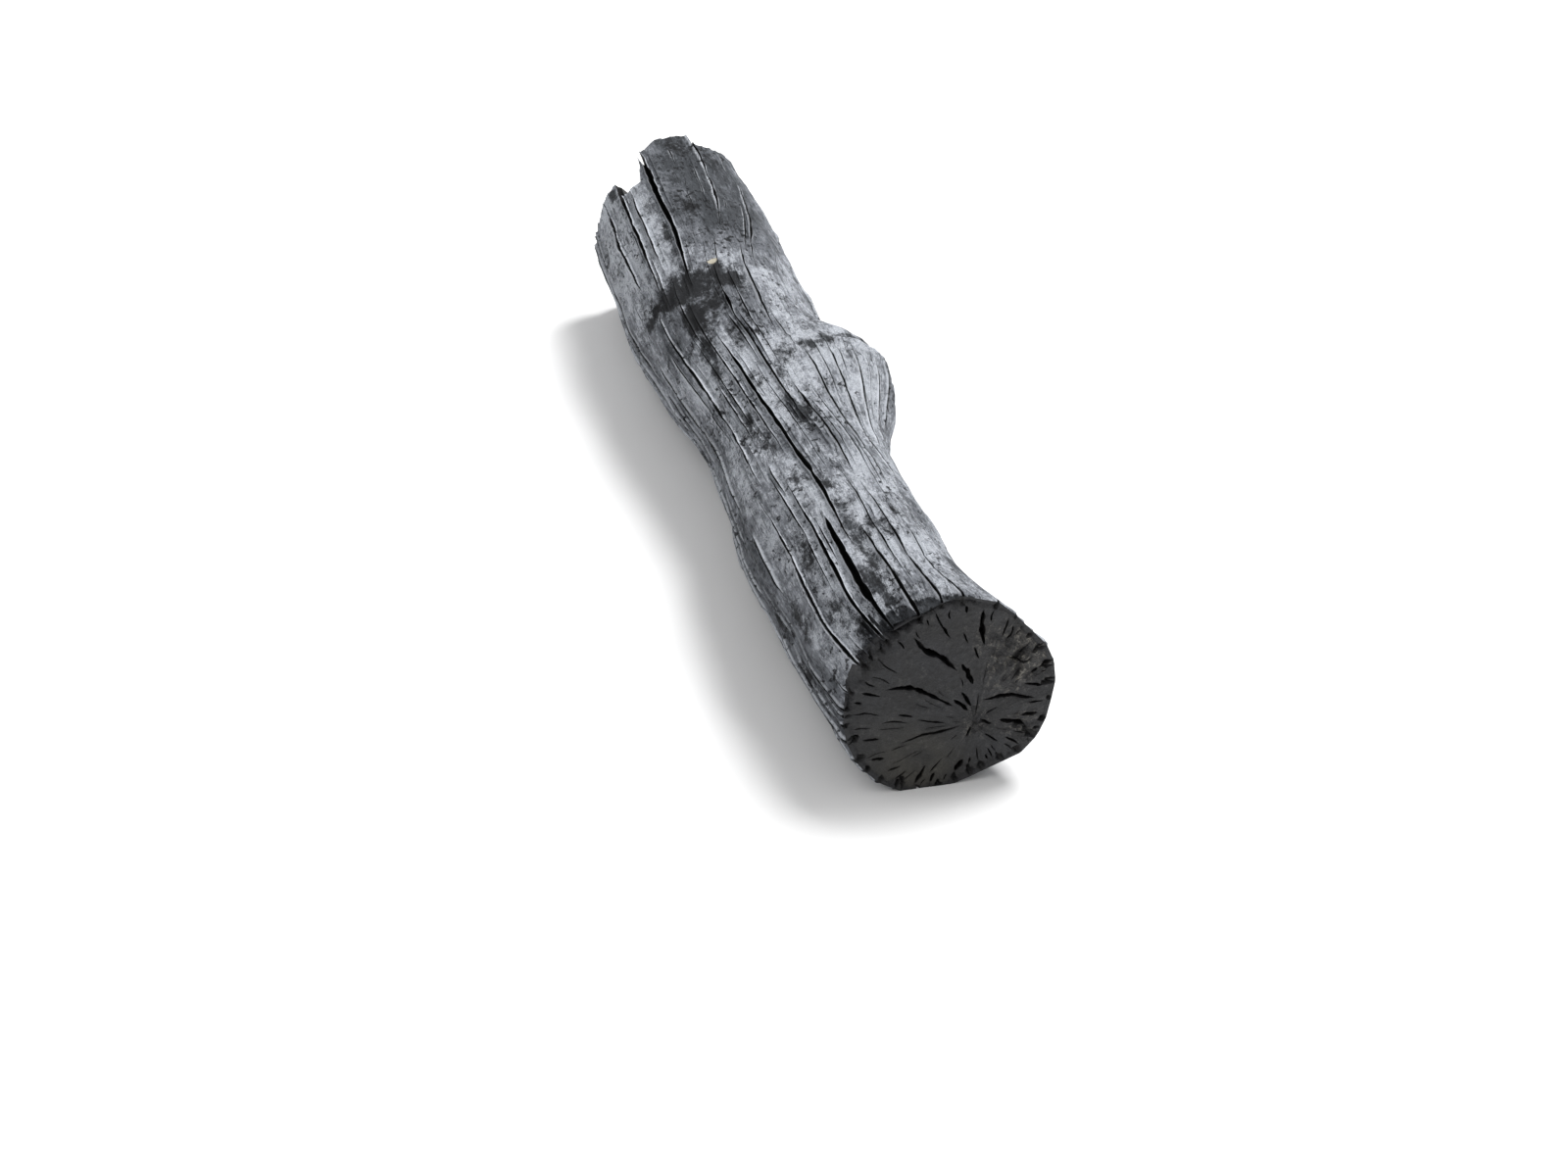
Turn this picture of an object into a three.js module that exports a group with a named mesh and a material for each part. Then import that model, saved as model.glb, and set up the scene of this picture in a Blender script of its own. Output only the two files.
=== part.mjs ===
// A stick of hard white charcoal, burnt whole from one branch. One end is sawn across, the other is snapped
// off in steps. It lies along Y on its underside, with the sawn face towards -Y. Millimetres and degrees.
import * as THREE from "three";

// Driving dimensions
const stickLength = 221; // from the sawn face to the tip of the snapped end
const axisHeight = 19.6; // of the stick's middle line above what it lies on
const middleRadius = 19; // turns widths across the grain into angles
const pith = { x: 5.3, z: -6.9 }; // heart of the branch, from the middle line
const sawnTilt = 5.4; // the sawn face leans back towards its top

// Middle line's sideways place and the stick's radius, as [distance from the sawn face, value]
const middleLine = [[0, 2.4], [20, -2], [60, -5.1], [105, -4.4], [155, -7.1], [221, -6.6]];
const radiusLine = [[0, 21.7], [25, 18.8], [60, 18.4], [103, 17.2], [155, 20], [221, 19.8]];

// Swellings where side branches grew: angle, distance from the sawn face, height, spread round the stick,
// and reach towards the sawn end and towards the snapped end
const knots = [
  { angle: 17, at: 115, height: 7.6, spread: 45, nearReach: 20, farReach: 13 },
  { angle: 232, at: 72, height: 2, spread: 30, nearReach: 16, farReach: 11 },
  { angle: 318, at: 178, height: 2.4, spread: 27, nearReach: 13, farReach: 10 },
];

// Wood lost round the sawn edge: angle, spread round the stick, depth and reach along it. The first is the
// broad broken bevel above the face, where the edge has crumbled back as well
const losses = [
  { angle: 134, spread: 45, depth: 5.4, reach: 10 },
  { angle: 289, spread: 22, depth: 3.2, reach: 12 },
  { angle: 33, spread: 10, depth: 1.2, reach: 12 },
];
const crumbling = { everywhere: 0.2, inBevel: 3, spread: 39 }; // most that the sawn edge has crumbled back
const lumps = { height: 0.2, spacing: 61 }; // slow unevenness of the wood

// The grain leans to and fro along the stick, most of all on its upper side, and parts on top at the far end
const grain = { lean: 5.5, upperLean: 2.5, upperAngle: 100, wavelength: 150, crest: 124.5 };
const parting = { angle: 98, from: 150, to: 200, turn: 9, blend: 15 };

// Shrinkage cracks that show most, each on one line of the grain: its angle, the openings along it as
// [from, to, width], and the cracks it makes across the sawn face as [from, to, width], where 0 is the pith
// and 1 the rim
const openStart = -30; // an opening from here is still wide where it meets the sawn face
const openTip = 250; // and one to here is still wide at the snapped end
const shownCracks = [
  { angle: 29, side: [[78, 112, 0.5]], face: [[0.74, 1.1, 0.7]] },
  { angle: 43, side: [[66, 114, 0.6]], face: [[0.4, 0.66, 0.8]] },
  { angle: 56, side: [[54, 117, 0.8]], face: [[0.42, 0.74, 0.7]] },
  { angle: 69, side: [[54, 113, 0.8], [150, 205, 0.6]], face: [[0.7, 1.1, 0.8]] },
  { angle: 76.5, side: [[openStart, 42, 0.6], [120, 160, 0.5]], face: [[0.46, 0.98, 1.3]] },
  { angle: 88, side: [[4, 55, 0.7], [57, 99, 1], [167, openTip, 0.7]], face: [[0.25, 0.5, 1]] },
  { angle: 96, side: [[74, 152, 1.1]], face: [[0.3, 0.46, 1.2], [0.7, 0.86, 0.8]] },
  { angle: 103, side: [[openStart, 38, 0.8]], face: [[0.62, 1.1, 0.8]] },
  { angle: 113.5, side: [[30, 128, 1.2], [146, openTip, 1.3]], face: [[0.36, 0.6, 0.8]] },
  { angle: 120.5, side: [[openStart, 8, 0.9], [4, 44, 2.1], [70, 142, 0.9]], face: [[0.46, 1.1, 1.2]] },
  { angle: 129.5, side: [[openStart, 62, 1]], face: [[0.5, 0.66, 0.8]] },
  { angle: 136.5, side: [[146, openTip, 1]], face: [[0.24, 1.1, 1.1]] },
  { angle: 144.5, side: [[64, 154, 1]], face: [[0.2, 0.42, 0.8]] },
  { angle: 151.5, side: [[4, 66, 0.9], [157, 214, 0.9]], face: [[0.3, 0.8, 0.8]] },
  { angle: 168.5, side: [[34, 60, 0.8], [62, 148, 0.9]], face: [[0.4, 0.94, 0.7]] },
];

// Cracks over the rest of the stick, by a repeatable rule
const hiddenCracks = { count: 20, from: 178, to: 378, jitter: 3, firstSeed: 11 };
const hiddenOpening = { shortest: 26, longest: 84, gap: 9, narrowest: 0.5, widest: 1.5 };
const crackShape = { depthPerWidth: 2.6, deepest: 5.2, lip: 0.22, leastHalfWidth: 0.3 };
const faceCrackShape = { depthPerWidth: 2.2, deepest: 3, leastHalfWidth: 0.12, mostShare: 0.36, bend: 9 };

// Wedges of the snapped end, which split along the grain, as [first angle, last angle, how far they reach at
// the first, and how far at the last where the end is slanted]
const wedges = [
  [-50, 56, 211], [56, 88, 217], [88, 103, stickLength], [103, 113.5, stickLength, 217],
  [113.5, 120.5, 216, 204], [120.5, 136.5, 203], [136.5, 168.5, 212], [168.5, 222, 213],
  [222, 268, 214], [268, 310, 205],
];
const snappedHeart = 208; // how far the heart of the snapped end reaches
const snappedStretch = 62; // length over which the grain lines stretch to meet it
const sawnStretch = 24; // and the same at the sawn face
const splinters = { uneven: 1.2, inset: 0.6 }; // how the strips between two cracks broke off

const rows = 26; // steps along the stick
const faceRings = [0.93, 0.84, 0.72, 0.58, 0.43, 0.28, 0.13]; // from the rim to the pith

const radians = (degrees) => (degrees * Math.PI) / 180;
const clamp = (value, low, high) => Math.min(Math.max(value, low), high);

// A repeatable random number from 0 to 1 for each seed
function chance(seed) {
  const mixed = Math.sin(seed * 127.1 + 311.7) * 43758.5453;
  return mixed - Math.floor(mixed);
}

// The smallest angle from one direction to another, in degrees
function turnBetween(a, b) {
  return ((((a - b + 180) % 360) + 360) % 360) - 180;
}

// 1 at a swelling's crown, falling to nothing past its width
function swell(offset, width) {
  return Math.exp(-(Math.abs(offset / width) ** 2.6));
}

// A smooth line through [place, value] points, level beyond its ends
function lineThrough(points, at) {
  const last = points.length - 1;
  if (at <= points[0][0]) return points[0][1];
  if (at >= points[last][0]) return points[last][1];
  const i = points.findIndex(([place]) => place >= at) - 1;
  const slope = (k) => {
    const before = points[Math.max(k - 1, 0)];
    const after = points[Math.min(k + 1, last)];
    return (after[1] - before[1]) / (after[0] - before[0]);
  };
  const gap = points[i + 1][0] - points[i][0];
  const t = (at - points[i][0]) / gap;
  return (
    points[i][1] * (1 + 2 * t) * (1 - t) ** 2 +
    points[i + 1][1] * t * t * (3 - 2 * t) +
    slope(i) * gap * t * (1 - t) ** 2 +
    slope(i + 1) * gap * t * t * (t - 1)
  );
}

// The stick's radius before it cracked, at an angle and a distance from the sawn face
function soundRadius(angle, s) {
  let radius = lineThrough(radiusLine, s);
  for (const k of knots) {
    const reach = s > k.at ? k.farReach : k.nearReach;
    radius += k.height * swell(s - k.at, reach) * swell(turnBetween(angle, k.angle), k.spread);
  }
  for (const loss of losses) {
    const fade = Math.exp(-((Math.max(s, 0) / loss.reach) ** 1.5));
    radius -= loss.depth * fade * swell(turnBetween(angle, loss.angle), loss.spread);
  }
  const turn = radians(angle);
  const slow = (2 * Math.PI * s) / lumps.spacing;
  radius += lumps.height * (Math.sin(3 * turn + slow) + Math.sin(5 * turn - 1.7 * slow + 1));
  return radius;
}

// Where a line of the grain lies round the stick, at a distance from the sawn face
function grainAngle(angle, s) {
  const upper = Math.cos(radians(angle - grain.upperAngle));
  const lean = grain.lean + grain.upperLean * upper;
  const parted = THREE.MathUtils.smoothstep(s, parting.from, parting.to);
  const aside = turnBetween(angle, parting.angle);
  const fan = parting.turn * Math.tanh(aside / parting.blend) * Math.cos(radians(aside / 2));
  return angle + lean * Math.cos((2 * Math.PI * (s - grain.crest)) / grain.wavelength) + fan * parted;
}

// How wide a lens-shaped crack stands open at a place
function opening(openings, at) {
  let width = 0;
  for (const [from, to, widest] of openings) {
    const t = (2 * at - from - to) / (to - from);
    if (Math.abs(t) < 1) width = Math.max(width, widest * (1 - Math.abs(t) ** 2.5));
  }
  return width;
}

function makeHiddenCracks() {
  const made = [];
  const step = (hiddenCracks.to - hiddenCracks.from) / (hiddenCracks.count - 1);
  for (let k = 0; k < hiddenCracks.count; k++) {
    const seed = hiddenCracks.firstSeed + 40 * k;
    const side = [];
    let s = -20 + 50 * chance(seed + 1) - 25;
    for (let n = 2; s < stickLength; n += 3) {
      const run = THREE.MathUtils.lerp(hiddenOpening.shortest, hiddenOpening.longest, chance(seed + n));
      const width = THREE.MathUtils.lerp(
        hiddenOpening.narrowest, hiddenOpening.widest, chance(seed + n + 1) ** 2);
      side.push([s, s + run, width]);
      s += run + hiddenOpening.gap * chance(seed + n + 2);
    }
    const inner = 0.15 + 0.5 * chance(seed + 31);
    const face = [[inner, inner + 0.2 + 0.4 * chance(seed + 32), 0.5 + 0.8 * chance(seed + 33)]];
    if (chance(seed + 34) > 0.4) face.push([0.78, 1.15, 0.5 + 0.7 * chance(seed + 35)]);
    const angle = hiddenCracks.from + step * k + hiddenCracks.jitter * (chance(seed) - 0.5);
    made.push({ angle, side, face });
  }
  return made;
}

const cracks = [...shownCracks, ...makeHiddenCracks()];

// The crack whose line lies nearest to an angle
function nearestCrackAngle(angle) {
  let best = cracks[0].angle;
  for (const c of cracks) {
    if (Math.abs(turnBetween(c.angle, angle)) < Math.abs(turnBetween(best, angle))) best = c.angle;
  }
  return best;
}

// Each wedge with its sides moved to the nearest crack
const splitWedges = wedges.map(([from, to, ...reach]) => {
  return [nearestCrackAngle(from), nearestCrackAngle(to), ...reach];
});

function wedgeReach(angle) {
  for (const [from, to, reach, lastReach = reach] of splitWedges) {
    const width = (((to - from) % 360) + 360) % 360;
    const along = (((angle - from) % 360) + 360) % 360;
    if (along < width) return THREE.MathUtils.lerp(reach, lastReach, along / width);
  }
  return snappedHeart;
}

// The mesh's columns follow the grain: both lips and the floor of each crack, and the wood between two cracks
function makeColumns() {
  const columns = [];
  cracks.forEach((crack, k) => {
    const next = cracks[(k + 1) % cracks.length];
    const gapAfter = (((next.angle - crack.angle) % 360) + 360) % 360;
    const before = cracks[(k + cracks.length - 1) % cracks.length];
    const gapBefore = (((crack.angle - before.angle) % 360) + 360) % 360;
    const room = Math.min(gapBefore, gapAfter);
    const stripBefore = (k + cracks.length - 1) % cracks.length;
    for (const side of [-1, 0, 1]) {
      columns.push({ crack, side, room, strip: side < 0 ? stripBefore : k, seed: 7 * k + side });
    }
    if (gapAfter > 8.4) {
      const middle = { angle: crack.angle + gapAfter / 2, side: [], face: [] };
      columns.push({ crack: middle, side: 0, room, strip: k, seed: 7 * k + 3 });
    }
  });
  return columns;
}

const columns = makeColumns();

function columnReach(column) {
  const nudge = 0.01;
  const before = wedgeReach(column.crack.angle - nudge);
  const after = wedgeReach(column.crack.angle + nudge);
  const reach = column.side < 0 ? before : column.side > 0 ? after : Math.min(before, after);
  return reach - splinters.uneven * chance(7 * column.strip + 900) - splinters.inset;
}

// How far back the leaning sawn face lies at a height
function sawnPlane(height) {
  return height * Math.tan(radians(sawnTilt));
}

// Where a column meets the sawn face, whose edge has crumbled back, most of all in the bevel
function sawnStart(column) {
  const angle = grainAngle(column.crack.angle, 0);
  const inBevel = swell(turnBetween(angle, losses[0].angle), crumbling.spread);
  const crumbled = (crumbling.everywhere + crumbling.inBevel * inBevel) * chance(7 * column.strip + 500);
  return sawnPlane(axisHeight + soundRadius(angle, 0) * Math.sin(radians(angle))) + crumbled;
}

// A point of the side, from the nominal place along a column
function sidePoint(column, nominal) {
  let s = nominal + sawnStart(column) * Math.max(1 - nominal / sawnStretch, 0) ** 2;
  const past = clamp((nominal - (stickLength - snappedStretch)) / snappedStretch, 0, 1);
  s += (columnReach(column) - stickLength) * past ** 2;
  const { crack, side } = column;
  const width = opening(crack.side, s);
  const halfWidth = Math.max(width / 2, crackShape.leastHalfWidth);
  const angle = grainAngle(crack.angle, s) + side * THREE.MathUtils.radToDeg(halfWidth / middleRadius);
  const depth = Math.min(width * crackShape.depthPerWidth, crackShape.deepest);
  const inset = side === 0 ? depth : Math.min(crackShape.lip, width / 4);
  const radius = soundRadius(angle, s) - inset;
  const turn = radians(angle);
  return new THREE.Vector3(
    lineThrough(middleLine, s) + radius * Math.cos(turn),
    s,
    Math.max(axisHeight + radius * Math.sin(turn), 0),
  );
}

// A point between the pith and the rim of an end, where share is 0 at the pith and 1 at the rim
function acrossEnd(column, rim, share, endS) {
  const heart = new THREE.Vector3(lineThrough(middleLine, endS) + pith.x, endS, axisHeight + pith.z);
  const width = opening(column.crack.face, share);
  const spoke = rim.clone().sub(heart);
  const across = new THREE.Vector3(-spoke.z, 0, spoke.x).normalize();
  const spokeLength = Math.hypot(spoke.x, spoke.z) * share;
  const roomHere = radians(column.room) * spokeLength * faceCrackShape.mostShare;
  const half = Math.min(Math.max(width / 2, faceCrackShape.leastHalfWidth), roomHere);
  const bend = radians(faceCrackShape.bend) * Math.sin(3 * radians(column.crack.angle) + 1) * (1 - share) * share;
  const point = heart.clone().addScaledVector(spoke, share);
  const rimHalf = column.side * radians(1) * spokeLength;
  point.addScaledVector(across, spokeLength * bend * 2 + column.side * half - rimHalf * share);
  return { point, width: column.side === 0 ? width : 0 };
}

function sawnPoint(column, rim, share) {
  const { point, width } = acrossEnd(column, rim, share, 0);
  const crumbs = 0.35 * chance(column.seed * 3 + Math.round(share * 50));
  const depth = Math.min(width * faceCrackShape.depthPerWidth, faceCrackShape.deepest);
  const edge = (rim.y - sawnPlane(rim.z)) * Math.max(share * 5 - 4, 0);
  point.y = sawnPlane(point.z) + edge + depth + crumbs;
  return point;
}

function snappedPoint(column, rim, share) {
  const { point, width } = acrossEnd(column, rim, share, snappedHeart);
  const rough = 1.4 * (chance(column.seed * 5 + Math.round(share * 70)) - 0.5);
  const depth = Math.min(width * faceCrackShape.depthPerWidth, faceCrackShape.deepest);
  point.y = snappedHeart + (rim.y - snappedHeart) * share ** 0.7 + rough * share - depth;
  return point;
}

// The closed skin: rings of points from the pith of the sawn face, along the side, to the snapped heart
function makeRings() {
  const side = [];
  for (let row = 0; row <= rows; row++) {
    const nominal = (stickLength * row) / rows;
    side.push(columns.map((c) => sidePoint(c, nominal)));
  }
  const sawn = faceRings.map((share) => columns.map((c, i) => sawnPoint(c, side[0][i], share)));
  const snapped = faceRings.map((share) => columns.map((c, i) => snappedPoint(c, side[rows][i], share)));
  return [...sawn.reverse(), ...side, ...snapped];
}

function makeGeometry() {
  const rings = makeRings();
  const pithHeight = axisHeight + pith.z;
  const sawnHeart = new THREE.Vector3(
    lineThrough(middleLine, 0) + pith.x, sawnPlane(pithHeight) + 0.4, pithHeight);
  const farHeart = new THREE.Vector3(
    lineThrough(middleLine, snappedHeart) + pith.x, snappedHeart - 1, pithHeight);
  const points = [sawnHeart, farHeart, ...rings.flat()];
  const count = columns.length;
  const index = [];
  const at = (ring, column) => 2 + ring * count + (column % count);
  for (let column = 0; column < count; column++) {
    index.push(0, at(0, column), at(0, column + 1));
    index.push(1, at(rings.length - 1, column + 1), at(rings.length - 1, column));
    for (let ring = 0; ring < rings.length - 1; ring++) {
      const [a, b] = [at(ring, column), at(ring, column + 1)];
      const [c, d] = [at(ring + 1, column + 1), at(ring + 1, column)];
      index.push(a, d, b, b, d, c);
    }
  }
  const geometry = new THREE.BufferGeometry().setFromPoints(points);
  geometry.setIndex(index);
  geometry.computeVertexNormals();
  return geometry;
}

// Puts the origin at the middle of the footprint, on the surface that the stick lies on
function standOnOrigin(geometry) {
  geometry.computeBoundingBox();
  const { min, max } = geometry.boundingBox;
  geometry.translate(-(min.x + max.x) / 2, -(min.y + max.y) / 2, -min.z);
  return geometry;
}

const ashGrey = new THREE.MeshStandardMaterial({ color: 0x6f747b, roughness: 0.85, metalness: 0 });
const stick = new THREE.Mesh(standOnOrigin(makeGeometry()), ashGrey);
stick.name = "charcoal_stick";

const part = new THREE.Group();
part.add(stick);

export default part;
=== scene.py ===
import math

import bpy
import numpy as np
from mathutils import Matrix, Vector
from mathutils.geometry import delaunay_2d_cdt


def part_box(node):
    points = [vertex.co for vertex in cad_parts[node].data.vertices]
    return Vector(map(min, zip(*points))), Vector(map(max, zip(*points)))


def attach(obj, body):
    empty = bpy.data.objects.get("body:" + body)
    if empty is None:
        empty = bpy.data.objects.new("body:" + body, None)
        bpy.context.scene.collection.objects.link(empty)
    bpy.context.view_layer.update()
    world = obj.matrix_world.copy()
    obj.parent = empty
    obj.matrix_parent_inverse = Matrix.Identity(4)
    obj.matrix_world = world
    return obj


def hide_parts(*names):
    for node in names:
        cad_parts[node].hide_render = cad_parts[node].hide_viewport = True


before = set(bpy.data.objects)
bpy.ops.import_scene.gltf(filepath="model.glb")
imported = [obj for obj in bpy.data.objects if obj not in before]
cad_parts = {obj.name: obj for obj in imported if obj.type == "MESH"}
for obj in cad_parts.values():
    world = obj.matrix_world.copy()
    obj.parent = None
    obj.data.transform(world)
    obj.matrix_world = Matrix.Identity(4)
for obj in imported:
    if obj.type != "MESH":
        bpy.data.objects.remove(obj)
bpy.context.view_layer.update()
print("frame loaded")

# Lengths are in millimetres and angles in degrees until the mesh is made. Angles run round the stick from
# the knot's side over the top, and distances along it from the sawn face.
stick = {
    "length": 221,
    "axisHeight": 19.6,  # of the middle line above the floor
    "middleRadius": 19,  # turns widths across the grain into angles
    "pith": (5.3, -6.9),  # heart of the branch, from the middle line
    "sawnTilt": 5.4,  # the sawn face leans back towards its top
    "sawnStretch": 24,  # length over which the grain lines stretch to meet the sawn face
    "middleLine": [(0, 2.4), (20, -2), (60, -5.1), (105, -4.4), (155, -7.1), (221, -6.6)],
    "radiusLine": [(0, 21.7), (25, 18.8), (60, 18.4), (103, 17.2), (155, 20), (221, 19.8)],
    "knots": [
        {"angle": 17, "at": 115, "height": 7.6, "spread": 45, "near": 20, "far": 13},
        {"angle": 232, "at": 72, "height": 2, "spread": 30, "near": 16, "far": 11},
        {"angle": 318, "at": 178, "height": 2.4, "spread": 27, "near": 13, "far": 10},
    ],
    "losses": [  # wood lost round the sawn edge, first the broad broken bevel above the face
        {"angle": 134, "spread": 45, "depth": 5.4, "reach": 10},
        {"angle": 289, "spread": 22, "depth": 3.2, "reach": 12},
        {"angle": 33, "spread": 10, "depth": 1.2, "reach": 12},
    ],
    # Most that the sawn edge has crumbled back, everywhere and in the bevel, how many bites go round it, and
    # its grit, which is so much coarser in the bevel
    "crumbling": {
        "everywhere": 0.12, "inBevel": 3.6, "spread": 41, "bites": 43, "grit": 0.05, "grittier": 13,
    },
    "lumps": {"height": 0.2, "spacing": 61},
    "grain": {"lean": 5.5, "upperLean": 2.5, "upperAngle": 100, "wavelength": 150, "crest": 124.5},
    "parting": {"angle": 98, "from": 150, "to": 200, "turn": 9, "blend": 15},  # grain opens at the far end
    "collar": {"angle": 44, "spread": 44, "at": 116, "height": 1.1, "reach": 9},  # ledge round the big knot
}

# Shrinkage cracks that show most: angle, openings along the side as (from, to, width)
openStart = -30  # an opening from here is still wide at the sawn face
openTip = 250  # and one to here at the snapped end
shownCracks = [
    (29, [(openStart, 8, 0.7), (78, 112, 0.5)]),
    (43, [(openStart, 6, 0.6), (66, 114, 0.6)]),
    (56, [(openStart, 9, 0.7), (54, 117, 0.7)]),
    (69, [(openStart, 6, 0.6), (54, 113, 0.7), (150, 205, 0.6)]),
    (76.5, [(openStart, 42, 0.6), (46, 98, 0.45), (120, 160, 0.5)]),
    (88, [(openStart, 55, 0.6), (57, 99, 0.8), (104, 150, 0.4), (167, openTip, 0.7)]),
    (96, [(12, 60, 0.4), (74, 152, 0.8)]),
    (103, [(openStart, 38, 0.8), (60, 112, 0.35)]),
    (113.5, [(openStart, 7, 0.5), (30, 128, 1.1), (146, openTip, 1.3)]),
    (120.5, [(openStart, 8, 0.9), (4, 44, 2), (70, 142, 0.6)]),
    (129.5, [(openStart, 62, 0.9), (78, 134, 0.4), (158, 206, 0.5)]),
    (136.5, [(openStart, 9, 0.8), (20, 70, 0.45), (146, openTip, 1)]),
    (144.5, [(openStart, 11, 0.7), (64, 154, 0.8)]),
    (151.5, [(openStart, 66, 0.8), (92, 140, 0.45), (157, 214, 0.9)]),
    (168.5, [(openStart, 8, 0.8), (34, 60, 0.8), (62, 148, 0.8)]),
]
hiddenCracks = {"count": 20, "from": 178, "to": 378, "jitter": 3, "firstSeed": 11}
hiddenOpening = {"shortest": 26, "longest": 84, "gap": 9, "narrowest": 0.5, "widest": 1.5}
hiddenEnds = {"shortest": 3, "longest": 14, "narrowest": 0.6, "widest": 1.3}  # each also splits the sawn edge
hairCracks = {
    "shortest": 6, "longest": 36, "gap": 32, "narrowest": 0.16, "widest": 0.5, "leastGap": 6.4,
    "fewUpTo": 52, "few": 0.3,  # this share of them is kept near the sawn face
}
crackShape = {"depthPerWidth": 3.2, "leastDepth": 0.5, "deepest": 5.2, "leastHalfWidth": 0.09}

# Cracks across the sawn face, as (distance, angle) points round the pith and a greatest width
faceCracks = [
    ([(6, 135), (9, 139), (12, 141), (15.5, 144), (20, 152)], 1.3),
    ([(20, 156), (24, 157)], 0.7),
    ([(23, 121), (19.5, 120), (16.5, 115), (12, 106)], 1.4),
    ([(13.2, 101), (11, 97), (8.2, 92)], 1.4),
    ([(28, 107), (23.5, 107), (19, 104)], 0.7),
    ([(27, 98), (23.5, 97)], 0.6),
    ([(19.5, 96), (17, 94)], 0.6),
    ([(16, 90), (13.5, 86)], 0.6),
    ([(26.5, 85), (21.5, 86), (16.3, 83)], 1.3),
    ([(24.5, 70), (20.5, 71)], 0.5),
    ([(14.5, 64), (14.9, 52), (17, 47)], 0.5),
    ([(5, 71), (8, 37), (12.5, 17)], 1.1),
    ([(12, 34), (16.8, 20)], 0.8),
    ([(11, 15), (15, 11)], 0.6),
    ([(5, 359), (8.3, 352), (13, 345)], 1.6),
    ([(1.2, 20), (3.6, 346)], 0.8),
    ([(3.4, 307), (6.9, 314)], 0.7),
    ([(0.9, 234), (3.4, 243)], 0.7),
    ([(7, 294), (11, 294)], 0.7),
    ([(9.5, 306), (13, 304)], 0.8),
    ([(8, 275), (11.5, 272)], 0.4),
    ([(8, 254), (12.6, 247)], 1.2),
    ([(12.4, 220), (17, 225)], 1.2),
    ([(12.5, 231), (17.3, 235)], 1),
    ([(15.5, 166), (12.4, 166)], 0.6),
    ([(11.6, 169), (5.4, 175)], 0.5),
    ([(14.6, 190), (10.8, 188), (6.4, 189), (2.7, 189)], 0.7),
    ([(22, 182), (18.6, 183)], 0.7),
    ([(21, 194), (18.4, 196)], 0.9),
    ([(19, 205), (16.2, 207)], 0.7),
    ([(7, 126), (3, 113)], 1),
    ([(7.4, 110), (3.6, 98)], 0.9),
]
rimSlits = {  # short cracks a little way in from the rim
    "count": 64, "nearest": 0.2, "farthest": 1.6, "jitter": 0.7, "bend": 2.4,
    "narrowest": 0.25, "widest": 0.85, "shortest": 1.5, "longest": 5.5,
}
rays = {
    "count": 72, "nearest": 0.9, "farthest": 15, "jitter": 5, "bend": 4,
    "narrowest": 0.14, "widest": 0.42, "shortest": 1.5, "longest": 6,
}
# Crumbling parts of the sawn face, as (angle, spread, distance from the pith, reach, strength), then the
# crumbling round the pith and the part with earth on it
crumblyParts = [(56, 26, 15.5, 6.5, 1), (348, 17, 9.5, 4, 0.7)]
crumblyPith = {"reach": 2.8, "strength": 0.6}
earthyPart = {"angle": 220, "spread": 42, "away": 14, "reach": 8}
faceShape = {
    # edgeCut sets each crack's edge in a little, which also paints a soft shade round the crack
    "depthPerWidth": 2.4, "leastDepth": 0.6, "deepest": 3.4, "wall": 0.09, "clear": 0.3, "spacing": 0.62,
    "pointStep": 0.42, "fewestPoints": 6, "apart": 0.45, "rimCut": 0.04, "edgeCut": 0.14,
}

# Wedges of the snapped end, which split along the grain, as (first angle, last angle, reach at each)
wedges = [
    (-50, 56, 211, 211), (56, 88, 217, 217), (88, 103, 221, 221), (103, 113.5, 221, 217),
    (113.5, 120.5, 216, 204), (120.5, 136.5, 203, 203), (136.5, 168.5, 212, 212), (168.5, 222, 213, 213),
    (222, 268, 214, 214), (268, 310, 205, 205),
]
snapped = {"heart": 208, "stretch": 62, "rough": 1.3, "splinters": 1.2, "inset": 0.6}
snappedCracks = {
    "count": 30, "nearest": 1, "farthest": 10, "jitter": 7, "bend": 9,
    "narrowest": 0.4, "widest": 1.2, "shortest": 4, "longest": 14,
}

# Where the ash is worn off the side, and a dark line along the knot's ledge: angle, distance, spread round
# the stick and along it, strength
wornPatches = [
    (157, 149, 6, 3, 1.1), (150, 150, 7, 3, 1.1), (140, 148, 8, 5, 1.2), (129, 148, 10, 7, 1.4),
    (119, 147, 10, 8, 1.4), (110, 147, 9, 6, 1.3), (101, 147, 9, 6, 1.2), (92, 144, 8, 7, 1.1),
    (128, 134, 13, 9, 1.1), (133, 123, 8, 8, 1), (137, 115, 5, 6, 0.8), (113, 138, 12, 7, 0.95),
    (110, 122, 7, 7, 0.7), (96, 103, 8, 6, 0.8), (95, 84, 8, 7, 1.2), (101, 90, 7, 7, 0.9),
    (108, 92, 8, 2, 0.7), (114, 104, 7, 8, 0.7), (132, 91, 6, 7, 0.8), (125, 79, 8, 6, 0.8),
    # From (72, 112) here to (29, 118) below, they darken a line along the knot's ledge
    (72, 112, 8, 3, 0.9), (60, 114, 7, 2.4, 1), (50, 116, 7, 2.2, 1), (41, 117, 8, 2.1, 1.1),
    (29, 118, 9, 2, 1.1), (88, 110, 7, 6, 0.9), (116, 60, 7, 6, 0.8), (101, 54, 7, 4, 0.8),
    (101, 45, 6, 4, 0.8), (86, 36, 9, 5, 0.9), (102, 36, 6, 9, 0.9), (112, 14, 6, 9, 1.1),
    (104, 24, 5, 8, 0.9), (135, 36, 9, 8, 0.75), (141, 16, 8, 6, 0.75), (166, 27, 8, 9, 0.8),
    (69, 42, 5, 3, 0.7), (134, 8, 7, 5, 0.9), (122, 7, 4, 6, 1), (98, 180, 7, 6, 0.8), (118, 174, 4, 7, 0.9),
    (144, 209, 6, 6, 1), (86, 214, 13, 5, 0.8), (66, 208, 11, 8, 0.6), (108, 196, 8, 7, 0.55),
]
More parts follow.
